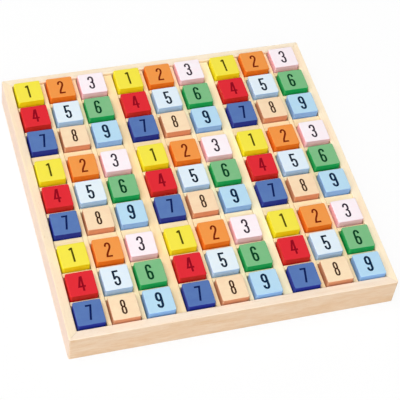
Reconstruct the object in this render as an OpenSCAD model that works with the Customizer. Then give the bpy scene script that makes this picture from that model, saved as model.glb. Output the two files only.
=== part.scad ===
// Sudoku board: a mitred wooden tray, a lattice of cross-lapped dividers and painted number blocks.
// The origin is the middle of the underside, +Z is up, and the digits read upright from -Y.

/* [Blocks] */
// Side of a block, seen from above
block_side = 24; // [18:0.1:36]
// Height of a block
block_height = 24; // [20:0.1:36]
// Width of the bevel along the edges of a block
block_bevel = 0.7; // [0.2:0.1:2]
// Gap on each side of a block in its cell
block_clearance = 0.9; // [0.3:0.05:1.5]

/* [Dividers] */
// Thickness of a divider inside a box of cells
thin_divider = 4; // [2:0.5:8]
// Thickness of a divider between two boxes
thick_divider = 8.7; // [4:0.1:16]
// Height of a divider
divider_height = 17.5; // [10:0.1:30]
// Gap on each side of a divider in the notch of one that it crosses
notch_clearance = 0.25; // [0.1:0.05:0.6]
// Gap between the end of a divider and the rail
end_clearance = 0.3; // [0.1:0.1:0.8]

/* [Tray] */
// Width of a rail
rail_width = 8.2; // [7:0.1:16]
// Height of the rim above the dividers
rim_height = 2.2; // [0.5:0.1:6]
// Width of the bevel along the edges of a rail
rail_bevel = 0.8; // [0.2:0.1:1.6]
// Width of the bevel at an outer corner of the tray
corner_bevel = 1.5; // [0.4:0.1:4]
// Thickness of the base board
board_thickness = 5; // [2:0.5:8]
// Height of the base board above the underside
board_lift = 4.3; // [2:0.1:10]
// Depth of the groove that holds the base board
groove_depth = 4; // [2:0.5:5.5]
// Gap round the base board in its groove
board_clearance = 0.2; // [0.1:0.05:0.5]

/* [Hidden] */
// Boxes along each side of the board, and cells along each side of a box
boxes = 3;
box_cells = 3;
cells = boxes * box_cells;
dividers = cells - 1;

// Share of a divider's height that lies below the lap at a crossing
lap_share = 0.5;
// Reach of a cut past the solid that it cuts
overrun = 1;

cell = block_side + 2 * block_clearance;
inside = cells * cell + (cells - boxes) * thin_divider + (boxes - 1) * thick_divider;
outside = inside + 2 * rail_width;

board_top = board_lift + board_thickness;
lap_height = lap_share * divider_height;
rail_height = board_top + divider_height + rim_height;

wood = "#f6dcbc";
board_wood = "#e8c99b";
block_colours = [
    "#f3e848", // yellow
    "#f2964b", // orange
    "#fceef5", // pale pink
    "#e42d37", // red
    "#deeefa", // pale blue
    "#6fbb82", // green
    "#5a78b9", // blue
    "#fcdcb4", // peach
    "#b2daf2", // light blue
];

sides = ["front", "right", "back", "left"];
bands = ["back", "middle", "front"];

// Cells and dividers are counted from 1, and a divider follows the cell of its own number.
// All places run from the middle of the board.
function divider_width(i) = i % box_cells == 0 ? thick_divider : thin_divider;
function thick_before(i) = floor((i - 1) / box_cells);
function thin_before(i) = i - 1 - thick_before(i);
function divider_start(i) =
    i * cell + thin_before(i) * thin_divider + thick_before(i) * thick_divider - inside / 2;
function cell_middle(i) = divider_start(i) - cell / 2;

// Tray

// Section of a rail: from the outer face inwards, and upwards
module rail_section() {
    groove_wall = rail_width - groove_depth;
    groove_top = board_top + board_clearance;
    polygon([
        [rail_bevel, 0],
        [rail_width, 0],
        [rail_width, board_lift],
        [groove_wall, board_lift],
        [groove_wall, groove_top],
        [rail_width, groove_top],
        [rail_width, rail_height - rail_bevel],
        [rail_width - rail_bevel, rail_height],
        [rail_bevel, rail_height],
        [0, rail_height - rail_bevel],
        [0, rail_bevel],
    ]);
}

// Plan of the front rail, with its two mitres and its half of each corner bevel
module rail_plan() {
    edge = outside / 2;
    inner = inside / 2;
    mitre = edge - corner_bevel / 2;
    polygon([
        [corner_bevel - edge, -edge],
        [edge - corner_bevel, -edge],
        [mitre, -mitre],
        [inner, -inner],
        [-inner, -inner],
        [-mitre, -mitre],
    ]);
}

module rail(turns) {
    color(wood)
        rotate([0, 0, 90 * turns])
            intersection() {
                translate([-outside / 2, -outside / 2, 0])
                    rotate([90, 0, 90])
                        linear_extrude(outside)
                            rail_section();
                linear_extrude(rail_height)
                    rail_plan();
            }
}

module base_board() {
    board_side = inside + 2 * (groove_depth - board_clearance);
    color(board_wood)
        translate([-board_side / 2, -board_side / 2, board_lift])
            cube([board_side, board_side, board_thickness]);
}

// Dividers

// A bar along Y in the place of column divider i, with a notch at every crossing
module notched_bar(i, notch_bottom, notch_height) {
    difference() {
        translate([divider_start(i), end_clearance - inside / 2, board_top])
            cube([divider_width(i), inside - 2 * end_clearance, divider_height]);
        for (j = [1 : dividers])
            translate([divider_start(i) - overrun, divider_start(j) - notch_clearance, notch_bottom])
                cube([
                    divider_width(i) + 2 * overrun,
                    divider_width(j) + 2 * notch_clearance,
                    notch_height,
                ]);
    }
}

// Counted from the left, and notched from below
module column_divider(i) {
    color(wood)
        notched_bar(i, board_top - overrun, lap_height + overrun);
}

// Counted from the back, and notched from above
module row_divider(i) {
    color(wood)
        rotate([0, 0, -90])
            notched_bar(i, board_top + lap_height, divider_height - lap_height + overrun);
}

// Blocks

module bevelled_rectangle(width, height) {
    x = width / 2;
    y = height / 2;
    polygon([
        [block_bevel - x, -y],
        [x - block_bevel, -y],
        [x, block_bevel - y],
        [x, y - block_bevel],
        [x - block_bevel, y],
        [block_bevel - x, y],
        [-x, y - block_bevel],
        [-x, block_bevel - y],
    ]);
}

// A block standing on the origin
module block() {
    translate([0, 0, block_height / 2])
        intersection() {
            linear_extrude(block_height, center = true)
                bevelled_rectangle(block_side, block_side);
            rotate([90, 0, 0])
                linear_extrude(block_side, center = true)
                    bevelled_rectangle(block_side, block_height);
            rotate([90, 0, 90])
                linear_extrude(block_side, center = true)
                    bevelled_rectangle(block_side, block_height);
        }
}

// The blocks of one digit in one band of boxes, where every box holds its digits in reading order
module blocks(digit, band) {
    row = band * box_cells + floor((digit - 1) / box_cells) + 1;
    color(block_colours[digit - 1])
        for (box = [0 : boxes - 1]) {
            column = box * box_cells + (digit - 1) % box_cells + 1;
            translate([cell_middle(column), -cell_middle(row), board_top])
                block();
        }
}

// Nodes

base_board();

for (turns = [0 : len(sides) - 1])
    rail(turns);

for (i = [1 : dividers]) {
    column_divider(i);
    row_divider(i);
}

for (digit = [1 : cells], band = [0 : boxes - 1])
    blocks(digit, band);
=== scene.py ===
"""A sudoku board: 81 painted number blocks in a mitred wooden tray with a lattice of dividers."""
import math
import random

import bmesh
import bpy
from mathutils import Matrix, Vector
from mathutils.geometry import interpolate_bezier


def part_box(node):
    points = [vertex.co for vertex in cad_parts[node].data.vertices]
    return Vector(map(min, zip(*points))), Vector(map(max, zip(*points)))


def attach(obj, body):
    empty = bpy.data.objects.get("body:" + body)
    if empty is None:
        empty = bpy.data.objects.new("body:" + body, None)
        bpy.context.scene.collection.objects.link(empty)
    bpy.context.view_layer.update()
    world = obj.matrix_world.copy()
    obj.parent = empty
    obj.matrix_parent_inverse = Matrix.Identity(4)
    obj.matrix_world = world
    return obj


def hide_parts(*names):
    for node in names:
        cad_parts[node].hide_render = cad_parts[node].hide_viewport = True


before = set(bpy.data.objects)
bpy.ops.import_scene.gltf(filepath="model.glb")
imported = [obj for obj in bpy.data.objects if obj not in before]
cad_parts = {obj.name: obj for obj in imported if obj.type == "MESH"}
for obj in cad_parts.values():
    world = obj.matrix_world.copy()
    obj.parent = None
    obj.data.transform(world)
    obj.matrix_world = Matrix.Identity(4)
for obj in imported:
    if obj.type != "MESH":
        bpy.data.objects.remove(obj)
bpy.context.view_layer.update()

MM = 0.001
chance = random.Random(81)

# Names of the pieces, as the frame has them
SIDES = ("front", "right", "back", "left")
BANDS = ("back", "middle", "front")
DIVIDERS = range(1, 9)
DIGITS = range(1, 10)
BLOCKS_IN_NODE = 3

# Sizes of the tray and the blocks, read from the frame
board_low, board_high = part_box("base_board")
rail_low, rail_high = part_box("rail_front")
block_low, block_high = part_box("blocks_1_back")
tray_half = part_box("rail_right")[1].x
rail_width = rail_high.y - rail_low.y
rail_height = rail_high.z
block_side = block_high.y - block_low.y
block_height = block_high.z - block_low.z

# Small sizes that the frame's boxes don't give
BOARD_CLEARANCE = 0.2 * MM
NOTCH_CLEARANCE = 0.25 * MM
LAP_SHARE = 0.5
RAIL_EDGE = 0.9 * MM
RAIL_FOOT_EDGE = 0.4 * MM
TRAY_CORNER = 1.6 * MM
MITRE_GAP = 0.1 * MM
DIVIDER_EDGE = 0.35 * MM
BOARD_EDGE = 0.4 * MM
BLOCK_CORNER = 1.5 * MM
BLOCK_EDGE = 0.75 * MM
EDGE_STEPS = 4
SHARP_ANGLE = math.radians(35)
MERGE_DISTANCE = 0.001 * MM
QUARTER_TURN = math.radians(90)
MITRE_ANGLE = math.radians(45)

# How loosely the lattice lies between the rails, the blocks in their cells and the digits on the blocks
LATTICE_LEAN = Vector((0.25 * MM, 0, 0))
BLOCK_LEAN = Vector((0.45 * MM, 0, 0))
BLOCK_SLACK = 0.25 * MM
BLOCK_TURN = math.radians(0.8)
PRINT_SLACK = 0.45 * MM
PRINT_TURN = math.radians(1.2)

# Print of a digit: the width of its strokes and its place on the block, where they aren't usual, and the
# least distance between two points of a stroke, all in millimetres
STROKES = {4: 1.75, 5: 1.9, 6: 1.9, 7: 1.8, 8: 1.55, 9: 2.1}
USUAL_STROKE = 1.7
PRINT_PLACES = {
    2: (0, -0.6),
    3: (-0.8, 0.2),
    4: (-0.4, 0.1),
    5: (-0.1, -0.7),
    6: (-1.2, -0.3),
    7: (0.3, -0.3),
    8: (-0.4, 0.1),
    9: (-0.4, 0.2),
}
LEAST_STEP = 0.01
CURVE_STEPS = 14

# Thickness of the print over and under the face of the block
INK_RISE = 0.04 * MM
INK_SINK = 0.1 * MM

# Camera of the photograph
CAMERA_PLACE = Vector((-0.31705, -0.77462, 1.05549))
CAMERA_AZIMUTH = math.radians(-22.899)
CAMERA_ELEVATION = math.radians(51.605)
CAMERA_ROLL = math.radians(9.323)
CAMERA_LENS = 133.3
CAMERA_SENSOR = 36.0

# Paint of the blocks, by digit: its name, its milky colour on the top, which holds a painted sheen, and
# its deeper colour on the sides, painted brighter to stand in for the light they lack
PAINTS_WITH_PAINTED_LIGHT = {
    1: ("yellow", "#eadb48", "#f4e707"),
    2: ("orange", "#e69346", "#f87915"),
    3: ("pale_pink", "#f2ebef", "#ffc9d5"),
    4: ("red", "#d52330", "#db261f"),
    5: ("pale_blue", "#dde7ec", "#b1d8ff"),
    6: ("green", "#7bb481", "#0aad56"),
    7: ("blue", "#5575ac", "#1a2a94"),
    8: ("peach", "#f2dab6", "#db946d"),
    9: ("light_blue", "#b3d5e6", "#8bb9f1"),
}

# Ink of the digits
INKS = {
    1: "#4a4203",
    2: "#701a01",
    3: "#302231",
    4: "#8a041a",
    5: "#0c1e30",
    6: "#023a1e",
    7: "#03164e",
    8: "#402618",
    9: "#03213e",
}

# Wood: its pale ground, its darker tone and its flecks, and how far a piece goes towards the darker tone
# The rails' colours and tones differ by side partly as wood and partly as painted light: each side is
# tinted to stand in for the light that falls on it
RAIL_WOODS_AND_SIDE_LIGHT = {
    "front": ("#f6e8d6", "#dcb07e", "#c38a53"),
    "right": ("#fdedd0", "#edc796", "#cf995e"),
    "back": ("#f5e9d2", "#e6c499", "#c99760"),
    "left": ("#f3e2bc", "#e7c8c1", "#c9987c"),
}
RAIL_TONES_AND_SIDE_LIGHT = {"front": 0.84, "right": 0.3, "back": 0.4, "left": 0.83}
DIVIDER_WOOD = ("#fdf5cf", "#fbd399", "#dea864")
THICK_STRIP_TONES = {
    "column_divider_3": 0.9,
    "column_divider_6": 0.0,
    "row_divider_3": 0.88,
    "row_divider_6": 0.48,
}
BOARD_WOOD = ("#f0d3a4", "#dcb580", "#b98a55")

# Share of the darker tone taken off the upper faces: painted light, which makes the tops paler than the
# sides
RAIL_PAINTED_TOP_LIGHT = 0.65
DIVIDER_PAINTED_TOP_LIGHT = 0.1
BOARD_PAINTED_TOP_LIGHT = 0.0

# Length and width of the features in the grain of the wood
WOOD_CLOUDS = (40 * MM, 10 * MM)
WOOD_MOTTLE = (9 * MM, 1.8 * MM)
WOOD_LINES = (55 * MM, 1.3 * MM)
WOOD_FIBRES = (7 * MM, 0.3 * MM)
WOOD_SPECKS = (2.4 * MM, 0.4 * MM)

# Share of the darker tone or the flecks that each of them adds, and the finish of the wood
PIECE_TONE = 0.6
CLOUD_TONE = 0.2
MOTTLE_TONE = 0.1
LINE_SHARE = 0.18
FIBRE_SHARE = 0.12
SPECK_SHARE = 0.35
WOOD_WEAR = (0.1, 0.4)
WOOD_ROUGHNESS = (0.5, 0.66)
WOOD_BUMP = 0.25
WOOD_SPECULAR = 0.3

# Size of the features in the paint, the share of the deeper colour that they add, and its finish
PAINT_CLOUDS = 7 * MM
PAINT_GRAIN = (16 * MM, 0.7 * MM)
PAINT_SKIN = 0.35 * MM
PAINT_RUBS = 1.6 * MM
PAINT_CLOUD_SHARE = 0.1
PAINT_PIECE_SHARE = 0.1
PAINT_GRAIN_SHARE = 0.09
PAINT_WEAR = (0.12, 0.6)
PAINT_ROUGHNESS = (0.46, 0.6)
PAINT_BUMP = 0.18
PAINT_SPECULAR = 0.16

# Size of the thin patches in the ink and of its skin, the share of paint that shows, and its finish
INK_PATCHES = 1.1 * MM
INK_SKIN = 0.3 * MM
INK_THINNING = 0.08
INK_ROUGHNESS = (0.45, 0.62)
INK_BUMP = 0.1
INK_SPECULAR = 0.05

# Values between which a noise mostly runs, and how far apart it lies in two pieces
NOISE_SPAN = (0.3, 0.7)
NOISE_SPREAD = 60.0

# Values of a noise between which what it makes comes in
LINE_SPAN = (0.46, 0.68)
FIBRE_SPAN = (0.4, 0.8)
SPECK_SPAN = (0.64, 0.76)
WOOD_WEAR_SPAN = (0.35, 0.65)
PAINT_GRAIN_SPAN = (0.5, 0.75)
PAINT_WEAR_SPAN = (0.45, 0.7)
INK_PATCH_SPAN = (0.5, 0.8)

# Depth of a fine relief, and the share of each noise in it
RELIEF_DEPTH = 0.2 * MM
LINE_RELIEF = -0.4
FIBRE_RELIEF = 0.6
PAINT_SKIN_RELIEF = 0.3
PAINT_GRAIN_RELIEF = 0.7

# Upward part of a face's direction where the painted light on the wood's upper faces, and the paint's top
# colour with its painted sheen, begin and are full
PAINTED_TOP_LIGHT_SPAN = (0.3, 0.9)
SHEEN_TOP_SPAN = (0.4, 0.92)

# Largest part of a face's direction, from a flat to the middle of a rounded edge
EDGE_SPAN = (0.995, 0.85)

# Floor: its colour and size, how white it looks near the board, and where that grows to full white
FLOOR_COLOUR = "#f2f2f2"
FLOOR_SIZE = 12.0
FLOOR_WHITENESS = 0.9
SHADOW_REACH = (0.3, 0.9)

# Even light, and the lamps with their place and size in metres and their level
WORLD_LIGHT = 0.1
LAMPS = {
    "overhead": ((-0.8, 0.5, 3.0), 1.4, 0.32),
    "left": ((-2.6, -0.9, 2.6), 5.0, 1.0),
    "front": ((0.2, -2.8, 2.5), 2.2, 0.38),
    "back_right": ((2.8, 2.3, 0.5), 0.8, 0.28),
}


# Colours and shader nodes


def colour(code):
    """Linear red, green, blue and alpha of a colour written as #rrggbb."""
    shares = [int(code[i:i + 2], 16) / 255 for i in (1, 3, 5)]
    linear = [s / 12.92 if s <= 0.04045 else ((s + 0.055) / 1.055) ** 2.4 for s in shares]
    return (*linear, 1.0)


def add(tree, kind, inputs=None, **settings):
    """A new shader node with its settings, and with inputs set to values or linked to outputs."""
    node = tree.nodes.new("ShaderNode" + kind)
    for name, value in settings.items():
        setattr(node, name, value)
    for key, value in (inputs or {}).items():
        if isinstance(value, bpy.types.NodeSocket):
            tree.links.new(value, node.inputs[key])
        else:
            node.inputs[key].default_value = value
    return node


def arithmetic(tree, operation, *values):
    """Output of a Math node."""
    return add(tree, "Math", dict(enumerate(values)), operation=operation).outputs[0]


def mixed(tree, factor, first, second):
    """Colour that goes from the first to the second with the factor."""
    node = add(tree, "Mix", {0: factor, 6: first, 7: second}, data_type="RGBA")
    return node.outputs[2]


def ramp(tree, value, start, end, low=0.0, high=1.0):
    """Value that runs smoothly from low to high while the given one runs from start to end."""
    inputs = {"Value": value, "From Min": start, "From Max": end, "To Min": low, "To Max": high}
    return add(tree, "MapRange", inputs, interpolation_type="SMOOTHSTEP").outputs["Result"]


def noise(tree, size, seed, detail=2.0, roughness=0.5, distortion=0.0):
    """Noise with features of a given size along X, Y and Z, which differs from piece to piece."""
    place = add(tree, "TexCoord").outputs["Object"]
    scaled = add(tree, "Mapping", {"Vector": place, "Scale": [1 / s for s in size]}).outputs["Vector"]
    offset = add(tree, "Attribute", attribute_name="variation").outputs["Fac"]
    turn = arithmetic(tree, "MULTIPLY_ADD", offset, NOISE_SPREAD, seed)
    inputs = {
        "Vector": scaled,
        "W": turn,
        "Scale": 1.0,
        "Detail": detail,
        "Roughness": roughness,
        "Distortion": distortion,
    }
    return add(tree, "TexNoise", inputs, noise_dimensions="4D").outputs[0]


def facing(tree):
    """X, Y and Z of the surface's own direction."""
    normal = add(tree, "NewGeometry").outputs["Normal"]
    return add(tree, "SeparateXYZ", {0: normal}).outputs


def edge_share(tree):
    """1 on the rounded edges and 0 on the flats."""
    x, y, z = (arithmetic(tree, "ABSOLUTE", part) for part in facing(tree))
    flatness = arithmetic(tree, "MAXIMUM", arithmetic(tree, "MAXIMUM", x, y), z)
    return ramp(tree, flatness, *EDGE_SPAN)


def new_material(name):
    """A material with an empty node tree."""
    material = bpy.data.materials.new(name)
    material.use_nodes = True
    material.node_tree.nodes.clear()
    return material


def surface(tree, base, roughness, height, bump, specular):
    """Ends a material with one shader that has a colour, a roughness and a fine relief."""
    relief = {"Height": height, "Strength": bump, "Distance": RELIEF_DEPTH}
    normal = add(tree, "Bump", relief).outputs[0]
    inputs = {
        "Base Color": base,
        "Roughness": roughness,
        "Normal": normal,
        "Specular IOR Level": specular,
    }
    shader = add(tree, "BsdfPrincipled", inputs).outputs[0]
    add(tree, "OutputMaterial", {"Surface": shader})


# Materials


def wood_material(name, along, colours, top_light_share):
    """Pale close-grained wood with its grain along X or Y, and painted light that makes its upper faces
    paler than its sides.
    """
    pale, dark, fleck = (colour(code) for code in colours)
    material = new_material(name)
    tree = material.node_tree

    def grain(length, width, seed, **settings):
        size = [width] * 3
        size["XY".index(along)] = length
        return noise(tree, size, seed, **settings)

    clouds = grain(*WOOD_CLOUDS, seed=1.0)
    mottle = grain(*WOOD_MOTTLE, seed=5.0, detail=3.0)
    lines = grain(*WOOD_LINES, seed=2.0, detail=3.0, roughness=0.6, distortion=0.4)
    fibres = grain(*WOOD_FIBRES, seed=3.0, detail=3.0)
    specks = grain(*WOOD_SPECKS, seed=4.0, detail=1.0)
    piece = add(tree, "Attribute", attribute_name="variation").outputs["Fac"]

    tone = ramp(tree, clouds, *NOISE_SPAN, 0.0, CLOUD_TONE)
    tone = arithmetic(tree, "MULTIPLY_ADD", piece, PIECE_TONE, tone)
    tone = arithmetic(tree, "ADD", tone, ramp(tree, mottle, *NOISE_SPAN, -MOTTLE_TONE, MOTTLE_TONE))
    # Painted light: upper faces keep less of the darker tone, so the tops look paler than the sides
    top_light_factor = ramp(tree, facing(tree)["Z"], *PAINTED_TOP_LIGHT_SPAN, 1.0, 1.0 - top_light_share)
    base = mixed(tree, arithmetic(tree, "MULTIPLY", tone, top_light_factor), pale, dark)
    base = mixed(tree, ramp(tree, lines, *LINE_SPAN, 0.0, LINE_SHARE), base, dark)
    base = mixed(tree, ramp(tree, fibres, *FIBRE_SPAN, 0.0, FIBRE_SHARE), base, fleck)
    base = mixed(tree, ramp(tree, specks, *SPECK_SPAN, 0.0, SPECK_SHARE), base, fleck)
    wear = ramp(tree, clouds, *WOOD_WEAR_SPAN, *WOOD_WEAR)
    base = mixed(tree, arithmetic(tree, "MULTIPLY", edge_share(tree), wear), base, pale)

    roughness = ramp(tree, lines, *NOISE_SPAN, *WOOD_ROUGHNESS)
    hollows = arithmetic(tree, "MULTIPLY", lines, LINE_RELIEF)
    relief = arithmetic(tree, "MULTIPLY_ADD", fibres, FIBRE_RELIEF, hollows)
    surface(tree, base, roughness, relief, WOOD_BUMP, WOOD_SPECULAR)
    return material


def paint_material(name, top, side):
    """Matt paint on wood: milky on the top with a painted sheen, deeper on the sides and painted brighter
    there to stand in for their light, and rubbed along the edges.
    """
    material = new_material(name)
    tree = material.node_tree
    along, across = PAINT_GRAIN
    clouds = noise(tree, [PAINT_CLOUDS] * 3, seed=1.0, detail=3.0)
    grain = noise(tree, [along, across, across], seed=2.0, detail=3.0)
    skin = noise(tree, [PAINT_SKIN] * 3, seed=3.0)
    rubs = noise(tree, [PAINT_RUBS] * 3, seed=4.0, detail=4.0, roughness=0.65)
    piece = add(tree, "Attribute", attribute_name="variation").outputs["Fac"]

    # Painted light: the top colour holds a painted sheen, and the side colour is painted brighter to stand
    # in for light the sides don't get
    upward = ramp(tree, facing(tree)["Z"], *SHEEN_TOP_SPAN)
    base = mixed(tree, upward, colour(side), colour(top))
    cloudy = ramp(tree, clouds, *NOISE_SPAN)
    deeper = arithmetic(tree, "MULTIPLY", piece, PAINT_PIECE_SHARE)
    deeper = arithmetic(tree, "MULTIPLY_ADD", cloudy, PAINT_CLOUD_SHARE, deeper)
    base = mixed(tree, deeper, base, colour(side))
    base = mixed(tree, ramp(tree, grain, *PAINT_GRAIN_SPAN, 0.0, PAINT_GRAIN_SHARE), base, colour(side))
    wear = ramp(tree, rubs, *PAINT_WEAR_SPAN, *PAINT_WEAR)
    base = mixed(tree, arithmetic(tree, "MULTIPLY", edge_share(tree), wear), base, colour(top))

    roughness = ramp(tree, clouds, *NOISE_SPAN, *PAINT_ROUGHNESS)
    fine = arithmetic(tree, "MULTIPLY", skin, PAINT_SKIN_RELIEF)
    relief = arithmetic(tree, "MULTIPLY_ADD", grain, PAINT_GRAIN_RELIEF, fine)
    surface(tree, base, roughness, relief, PAINT_BUMP, PAINT_SPECULAR)
    return material


def ink_material(name, ink, paint):
    """Printed ink, a little thinner in places so that the paint under it shows."""
    material = new_material(name)
    tree = material.node_tree
    patches = noise(tree, [INK_PATCHES] * 3, seed=5.0, detail=4.0, roughness=0.6)
    skin = noise(tree, [INK_SKIN] * 3, seed=6.0)
    thinness = ramp(tree, patches, *INK_PATCH_SPAN, 0.0, INK_THINNING)
    base = mixed(tree, thinness, colour(ink), colour(paint))
    roughness = ramp(tree, patches, *NOISE_SPAN, *INK_ROUGHNESS)
    surface(tree, base, roughness, skin, INK_BUMP, INK_SPECULAR)
    return material


# Outlines


def rounded_outline(corners):
    """Points of a closed outline, given as corners with a radius each, with the round ones as arcs."""
    points = []
    for i, (x, y, radius) in enumerate(corners):
        corner = Vector((x, y))
        if radius == 0:
            points.append(corner)
            continue
        before = (Vector(corners[i - 1][:2]) - corner).normalized()
        after = (Vector(corners[(i + 1) % len(corners)][:2]) - corner).normalized()
        half = before.angle(after) / 2
        middle = corner + (before + after).normalized() * radius / math.sin(half)
        start = corner + before * radius / math.tan(half) - middle
        end = corner + after * radius / math.tan(half) - middle
        for step in range(EDGE_STEPS + 1):
            points.append(middle + start.lerp(end, step / EDGE_STEPS).normalized() * radius)
    return points


def arc(x, y, across, up, start, end):
    """Points of an elliptic arc about a middle, between two angles in degrees from +X."""
    angles = (math.radians(start + (end - start) * i / CURVE_STEPS) for i in range(CURVE_STEPS + 1))
    return [Vector((x + across * math.cos(a), y + up * math.sin(a))) for a in angles]


def line(*points):
    """Corners of a broken line."""
    return [Vector(p) for p in points]


def bend(start, first_handle, second_handle, end):
    """Points of a smooth curve with two handles."""
    handles = [Vector((*p, 0.0)) for p in (start, first_handle, second_handle, end)]
    return [p.to_2d() for p in interpolate_bezier(*handles, CURVE_STEPS + 1)]


def oval(across, low, high, round_height):
    """Points of a closed upright oval with straight sides."""
    return (
        arc(0, high - round_height, across, round_height, 0, 180)
        + arc(0, low + round_height, across, round_height, 180, 360)
    )


# Meshes


def mesh_of(name, bm):
    """A mesh with clean, outward faces from a bmesh, which is freed, with its sharp edges marked."""
    bmesh.ops.remove_doubles(bm, verts=bm.verts, dist=MERGE_DISTANCE)
    bmesh.ops.recalc_face_normals(bm, faces=bm.faces)
    for edge in bm.edges:
        edge.smooth = edge.calc_face_angle(0) < SHARP_ANGLE
    for face in bm.faces:
        face.smooth = True
    mesh = bpy.data.meshes.new(name)
    bm.to_mesh(mesh)
    bm.free()
    return mesh


def round_edges(bm, edges, radius):
    """Rounds the given edges of a bmesh."""
    bmesh.ops.bevel(
        bm, geom=edges, offset=radius, segments=EDGE_STEPS, profile=0.5, affect="EDGES", clamp_overlap=True
    )


def swept(rings, closed):
    """A bmesh of the skin through rings of as many points each, closed on itself or with capped ends."""
    bm = bmesh.new()
    rows = [[bm.verts.new(point) for point in ring] for ring in rings]
    around = len(rings[0])
    for i in range(len(rows) if closed else len(rows) - 1):
        here, there = rows[i], rows[(i + 1) % len(rows)]
        for j in range(around):
            k = (j + 1) % around
            bm.faces.new((here[j], here[k], there[k], there[j]))
    if not closed:
        bm.faces.new(rows[0])
        bm.faces.new(rows[-1])
    return bm


def set_variation(mesh, values):
    """Gives the points of a mesh the values that its material reads."""
    mesh.attributes.new("variation", "FLOAT", "POINT").data.foreach_set("value", values)


def set_one_variation(mesh, value):
    """Gives a whole mesh one value that its material reads."""
    set_variation(mesh, [value] * len(mesh.vertices))


def joined_copies(name, form, places, variations):
    """One mesh of copies of a form, each with its own variation."""
    points, faces, values = [], [], []
    for place, variation in zip(places, variations):
        first = len(points)
        points += [place @ vertex.co for vertex in form.vertices]
        faces += [[first + i for i in face.vertices] for face in form.polygons]
        values += [variation] * len(form.vertices)
    mesh = bpy.data.meshes.new(name)
    mesh.from_pydata(points, [], faces)
    set_variation(mesh, values)
    return mesh


def united(forms):
    """One mesh from closed meshes that overlap."""
    objects = [bpy.data.objects.new("stroke", form) for form in forms]
    for piece in objects:
        bpy.context.scene.collection.objects.link(piece)
    for other in objects[1:]:
        union = objects[0].modifiers.new("union", "BOOLEAN")
        union.operation = "UNION"
        union.solver = "EXACT"
        union.object = other
    whole = objects[0].evaluated_get(bpy.context.evaluated_depsgraph_get())
    mesh = bpy.data.meshes.new_from_object(whole)
    for piece in objects:
        bpy.data.objects.remove(piece)
    return mesh


def new_piece(name, mesh, material, body, replaced=None, smooth=True):
    """Puts a mesh into the scene as a piece that rides on a body."""
    mesh.materials.append(material)
    piece = bpy.data.objects.new(name, mesh)
    bpy.context.scene.collection.objects.link(piece)
    if smooth:
        shading = piece.modifiers.new("even_shading", "WEIGHTED_NORMAL")
        shading.keep_sharp = True
    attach(piece, body)
    if replaced:
        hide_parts(replaced)


# Tray


def rail_section():
    """Section of a rail as depth from the outer face and height, with the groove that holds the board."""
    groove_wall = tray_half - board_high.x - BOARD_CLEARANCE
    groove_top = board_high.z + BOARD_CLEARANCE
    return rounded_outline([
        (0, 0, RAIL_FOOT_EDGE),
        (rail_width, 0, RAIL_FOOT_EDGE),
        (rail_width, board_low.z, 0),
        (groove_wall, board_low.z, 0),
        (groove_wall, groove_top, 0),
        (rail_width, groove_top, 0),
        (rail_width, rail_height, RAIL_EDGE),
        (0, rail_height, RAIL_EDGE),
    ])


def rail_end(depth):
    """Places along the front rail from near its right end to the mitre, at a depth from its outer face."""
    across = -tray_half + depth
    end = tray_half - max(depth, TRAY_CORNER) - MITRE_GAP
    places = [(tray_half - 2 * rail_width, across), (end, across)]
    radius = max(TRAY_CORNER - depth, 0)
    for step in range(1, EDGE_STEPS + 1):
        angle = MITRE_ANGLE * step / EDGE_STEPS
        places.append((end + radius * math.sin(angle), across + radius * (1 - math.cos(angle))))
    return places


def rail_mesh(side):
    """A rail with mitred ends, and with its half of each rounded corner of the tray."""
    section = rail_section()
    ends = [rail_end(point.x) for point in section]
    right_rings = [
        [(*end[i], point.y) for end, point in zip(ends, section)] for i in range(len(ends[0]))
    ]
    left_rings = [[(-x, y, z) for x, y, z in ring] for ring in reversed(right_rings)]
    bm = swept(left_rings + right_rings, closed=False)
    turn = Matrix.Rotation(QUARTER_TURN * SIDES.index(side), 4, "Z")
    bmesh.ops.transform(bm, matrix=turn, verts=bm.verts)
    return mesh_of("rail_" + side, bm)


def board_mesh():
    """The base board, with eased edges."""
    bm = bmesh.new()
    size = board_high - board_low
    place = Matrix.Translation((board_low + board_high) / 2) @ Matrix.Diagonal((*size, 1))
    bmesh.ops.create_cube(bm, size=1, matrix=place)
    round_edges(bm, bm.edges[:], BOARD_EDGE)
    return mesh_of("base_board", bm)


def make_tray():
    """Rails and base board."""
    for side in SIDES:
        mesh = rail_mesh(side)
        set_one_variation(mesh, RAIL_TONES_AND_SIDE_LIGHT[side])
        along = "X" if side in ("front", "back") else "Y"
        wood = wood_material("rail_wood_" + side, along, RAIL_WOODS_AND_SIDE_LIGHT[side], RAIL_PAINTED_TOP_LIGHT)
        new_piece(side + "_rail", mesh, wood, "tray", "rail_" + side)
    mesh = board_mesh()
    set_one_variation(mesh, chance.random())
    wood = wood_material("board_wood", "X", BOARD_WOOD, BOARD_PAINTED_TOP_LIGHT)
    new_piece("board", mesh, wood, "tray", "base_board")


# Lattice


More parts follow.
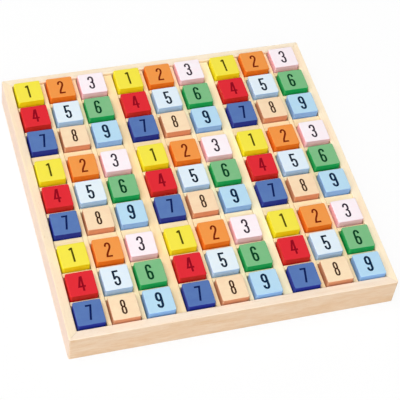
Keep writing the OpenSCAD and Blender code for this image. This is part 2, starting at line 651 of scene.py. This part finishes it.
def notched_mesh(node, along, crossings, from_top):
    """A divider along X or Y, with a notch from its top or its bottom at each crossing."""
    low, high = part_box(node)
    run = "XY".index(along)
    lap = low.z + LAP_SHARE * (high.z - low.z)
    plain, notched = (low.z, high.z) if from_top else (high.z, low.z)
    outline = [(low[run], plain), (low[run], notched)]
    for crossing in sorted(crossings, key=lambda box: box[0][run]):
        start = crossing[0][run] - NOTCH_CLEARANCE
        end = crossing[1][run] + NOTCH_CLEARANCE
        outline += [(start, notched), (start, lap), (end, lap), (end, notched)]
    outline += [(high[run], notched), (high[run], plain)]

    def place(along_bar, across_bar, height):
        return (along_bar, across_bar, height) if along == "X" else (across_bar, along_bar, height)

    side = 1 - run
    rings = [[place(s, across, z) for s, z in outline] for across in (low[side], high[side])]
    bm = swept(rings, closed=False)
    crest = [e for e in bm.edges if all(abs(v.co.z - high.z) < MERGE_DISTANCE for v in e.verts)]
    round_edges(bm, crest, DIVIDER_EDGE)
    bmesh.ops.translate(bm, vec=LATTICE_LEAN, verts=bm.verts)
    return mesh_of(node, bm)


def make_lattice():
    """Column dividers, notched from below, and row dividers, notched from above."""
    columns = [f"column_divider_{i}" for i in DIVIDERS]
    rows = [f"row_divider_{i}" for i in DIVIDERS]
    for along, nodes, crossed in (("Y", columns, rows), ("X", rows, columns)):
        wood = wood_material("divider_wood_" + along, along, DIVIDER_WOOD, DIVIDER_PAINTED_TOP_LIGHT)
        crossings = [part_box(node) for node in crossed]
        for node in nodes:
            mesh = notched_mesh(node, along, crossings, from_top=along == "X")
            set_one_variation(mesh, THICK_STRIP_TONES.get(node, chance.random()))
            new_piece(node.replace("divider", "strip"), mesh, wood, "tray", node)


# Digits


def strokes_of(digit):
    """Middle lines of a digit's strokes in millimetres from the block's middle, each open or closed."""
    wide = 1.9
    tall = 7.0 if digit in (6, 9) else 6.85
    bowl = 2.5
    inner_bowl = 2.4
    stem_end = 7.5
    head = tall - bowl
    foot = -head
    if digit == 1:
        flag = line((-2.3, 5.3), (-0.3, 6.8))
        stem = line((0, stem_end), (0, -stem_end))
        return [(flag, False), (stem, False)]
    if digit == 2:
        hook = line((-wide, head - 0.9)) + arc(0, head, wide, bowl, 180, 0)
        sweep = bend((wide, head - 0.6), (wide, 0.6), (0.3 - wide, -2.4), (-wide, -tall))
        return [(hook + sweep + line((wide + 0.9, -tall)), False)]
    if digit == 3:
        waist = 0.3
        tip = line((-0.7, waist))
        upper = line((-wide, head - 0.8)) + arc(0, head, wide, bowl, 180, 0)
        upper += arc(0, waist + inner_bowl, wide, inner_bowl, 0, -90) + tip
        lower = tip + arc(0, waist - inner_bowl, wide, inner_bowl, 90, 0)
        lower += arc(0, foot, wide, bowl, 0, -180) + line((-wide, foot + 0.9))
        return [(upper, False), (lower, False)]
    if digit == 4:
        bar = -2.9
        upright = 1.0
        arm = line((3.2, bar), (-2.35, bar), (0.25, 7.1))
        stem = line((upright, stem_end), (upright, -stem_end))
        return [(arm, False), (stem, False)]
    if digit == 5:
        back = line((wide + 0.5, tall), (-wide, tall), (-wide, -1.2))
        belly = arc(0, -1.3, wide, inner_bowl, 180, 0) + arc(0, foot, wide, bowl, 0, -180)
        belly += line((-wide, foot + 1.1))
        return [(back, False), (belly, False)]
    if digit == 7:
        top = tall - 0.1
        return [(line((-2.6, top), (wide, top), (-0.65, -tall - 0.6)), False)]
    if digit == 8:
        reach = 6.5
        waist = 0.2
        round_height = 2.1
        lower = oval(1.5, -reach, waist, round_height)
        upper = oval(1.4, waist, reach, round_height)
        return [(lower, True), (upper, True)]
    loop = oval(wide, -tall, 0.4, bowl)
    hook = line((-wide, foot)) + arc(0, head, wide, bowl, 180, 0) + line((wide, head - 0.7))
    if digit == 9:
        loop = [-point for point in loop]
        hook = [-point for point in hook]
    return [(loop, True), (hook, False)]


def without_repeats(points):
    """The points of a line without those that repeat the one before."""
    return [p for i, p in enumerate(points) if i == 0 or (p - points[i - 1]).length > LEAST_STEP]


def stroke_mesh(points, width, closed):
    """A slab along a line, with mitred corners and square ends."""
    points = without_repeats(points)
    if closed and (points[0] - points[-1]).length < LEAST_STEP:
        points.pop()
    rings = []
    for i, point in enumerate(points):
        steps = []
        if closed or i > 0:
            steps.append((point - points[i - 1]).normalized())
        if closed or i < len(points) - 1:
            steps.append((points[(i + 1) % len(points)] - point).normalized())
        normals = [Vector((-step.y, step.x)) for step in steps]
        outward = sum(normals, Vector((0, 0))).normalized()
        offset = outward * width / 2 / outward.dot(normals[0])
        left, right = (point + offset) * MM, (point - offset) * MM
        rings.append([(*left, -INK_SINK), (*left, INK_RISE), (*right, INK_RISE), (*right, -INK_SINK)])
    return mesh_of("stroke", swept(rings, closed))


def digit_form(digit):
    """Mesh of a digit's print, about the middle of the top of a block."""
    width = STROKES.get(digit, USUAL_STROKE)
    forms = [stroke_mesh(points, width, closed) for points, closed in strokes_of(digit)]
    return united(forms) if len(forms) > 1 else forms[0]


# Blocks


def block_form():
    """Mesh of a block standing on the origin, with rounded corners and edges."""
    bm = bmesh.new()
    size = Matrix.Diagonal((block_side, block_side, block_height, 1))
    place = Matrix.Translation((0, 0, block_height / 2)) @ size
    bmesh.ops.create_cube(bm, size=1, matrix=place)
    upright = [e for e in bm.edges if abs(e.verts[0].co.z - e.verts[1].co.z) > MERGE_DISTANCE]
    round_edges(bm, upright, BLOCK_CORNER)
    rims = [e for e in bm.edges if abs(e.verts[0].co.z - e.verts[1].co.z) < MERGE_DISTANCE]
    round_edges(bm, rims, BLOCK_EDGE)
    return mesh_of("block", bm)


def loose(slack, turn):
    """A small chance shift and turn on the flat."""
    shift = Vector((chance.uniform(-slack, slack), chance.uniform(-slack, slack), 0))
    return Matrix.Translation(shift) @ Matrix.Rotation(chance.uniform(-turn, turn), 4, "Z")


def make_blocks():
    """The blocks of each digit in each band of boxes, and the digits printed on them."""
    block = block_form()
    for digit in DIGITS:
        paint_name, top, side = PAINTS_WITH_PAINTED_LIGHT[digit]
        paint = paint_material("paint_" + paint_name, top, side)
        ink = ink_material(f"ink_{digit}", INKS[digit], top)
        print_form = digit_form(digit)
        across, up = PRINT_PLACES.get(digit, (0, 0))
        print_place = Vector((across * MM, up * MM, block_height))
        for band in BANDS:
            node = f"blocks_{digit}_{band}"
            low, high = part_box(node)
            pitch = (high.x - low.x - block_side) / (BLOCKS_IN_NODE - 1)
            first = low + Vector((block_side / 2, block_side / 2, 0)) + BLOCK_LEAN
            middles = [first + Vector((pitch * i, 0, 0)) for i in range(BLOCKS_IN_NODE)]
            places = [Matrix.Translation(middle) @ loose(BLOCK_SLACK, BLOCK_TURN) for middle in middles]
            prints = [
                place @ Matrix.Translation(print_place) @ loose(PRINT_SLACK, PRINT_TURN)
                for place in places
            ]
            variations = [chance.random() for place in places]
            blocks = joined_copies(f"number_{node}", block, places, variations)
            for face in blocks.polygons:
                face.use_smooth = True
            new_piece(f"number_{node}", blocks, paint, node, node)
            digits = joined_copies(f"digits_{digit}_{band}", print_form, prints, variations)
            new_piece(f"digits_{digit}_{band}", digits, ink, node, smooth=False)


# Stage


def seen_directly(tree):
    """1 for a ray from the camera, or a reflected or refracted one, and 0 for other light."""
    path = add(tree, "LightPath").outputs
    direct = arithmetic(tree, "ADD", path["Is Camera Ray"], path["Is Glossy Ray"])
    return arithmetic(tree, "ADD", direct, path["Is Transmission Ray"])


def make_floor():
    """A pale floor that looks white and keeps a faint shadow."""
    material = new_material("floor")
    tree = material.node_tree
    lit = add(tree, "BsdfDiffuse", {"Color": colour(FLOOR_COLOUR)}).outputs[0]
    white = add(tree, "Emission", {"Strength": 1.0}).outputs[0]
    place = add(tree, "TexCoord").outputs["Object"]
    distance = add(tree, "VectorMath", {0: place}, operation="LENGTH").outputs["Value"]
    whiteness = ramp(tree, distance, *SHADOW_REACH, FLOOR_WHITENESS, 1.0)
    share = arithmetic(tree, "MULTIPLY", seen_directly(tree), whiteness)
    shader = add(tree, "MixShader", {0: share, 1: lit, 2: white}).outputs[0]
    add(tree, "OutputMaterial", {"Surface": shader})
    mesh = bpy.data.meshes.new("floor")
    reach = FLOOR_SIZE / 2
    corners = [(-reach, -reach, 0), (reach, -reach, 0), (reach, reach, 0), (-reach, reach, 0)]
    mesh.from_pydata(corners, [], [(0, 1, 2, 3)])
    mesh.materials.append(material)
    floor = bpy.data.objects.new("floor", mesh)
    bpy.context.scene.collection.objects.link(floor)


def make_world():
    """A white backdrop, with a lower level of even light on the object."""
    world = bpy.data.worlds.new("studio")
    world.use_nodes = True
    tree = world.node_tree
    tree.nodes.clear()
    strength = ramp(tree, seen_directly(tree), 0.0, 1.0, WORLD_LIGHT, 1.0)
    background = add(tree, "Background", {"Color": (1, 1, 1, 1), "Strength": strength}).outputs[0]
    add(tree, "OutputWorld", {"Surface": background})
    bpy.context.scene.world = world


def make_lamp(name, place, size, level):
    """A soft box that faces the middle of the board.

    A small one would light a white face there, turned to it, to the given level.
    """
    light = bpy.data.lights.new(name, "AREA")
    light.shape = "SQUARE"
    light.size = size
    light.energy = level * (math.pi * Vector(place).length) ** 2
    lamp = bpy.data.objects.new(name, light)
    lamp.location = place
    lamp.rotation_mode = "QUATERNION"
    lamp.rotation_quaternion = (-Vector(place)).to_track_quat("-Z", "Y")
    lamp.visible_camera = False
    bpy.context.scene.collection.objects.link(lamp)


def make_camera():
    """The camera of the photograph, which leans a little to one side."""
    back = Vector((
        math.sin(CAMERA_AZIMUTH) * math.cos(CAMERA_ELEVATION),
        -math.cos(CAMERA_AZIMUTH) * math.cos(CAMERA_ELEVATION),
        math.sin(CAMERA_ELEVATION),
    ))
    lens = bpy.data.cameras.new("camera")
    lens.lens = CAMERA_LENS
    lens.sensor_width = CAMERA_SENSOR
    camera = bpy.data.objects.new("camera", lens)
    camera.location = CAMERA_PLACE
    camera.rotation_mode = "QUATERNION"
    level = (-back).to_track_quat("-Z", "Y").to_matrix()
    camera.rotation_quaternion = (level @ Matrix.Rotation(CAMERA_ROLL, 3, "Z")).to_quaternion()
    bpy.context.scene.collection.objects.link(camera)
    bpy.context.scene.camera = camera


make_camera()
make_tray()
make_lattice()
make_blocks()
make_floor()
make_world()
for lamp_name, (lamp_place, lamp_size, lamp_level) in LAMPS.items():
    make_lamp(lamp_name, lamp_place, lamp_size, lamp_level)
bpy.context.scene.view_settings.view_transform = "Standard"
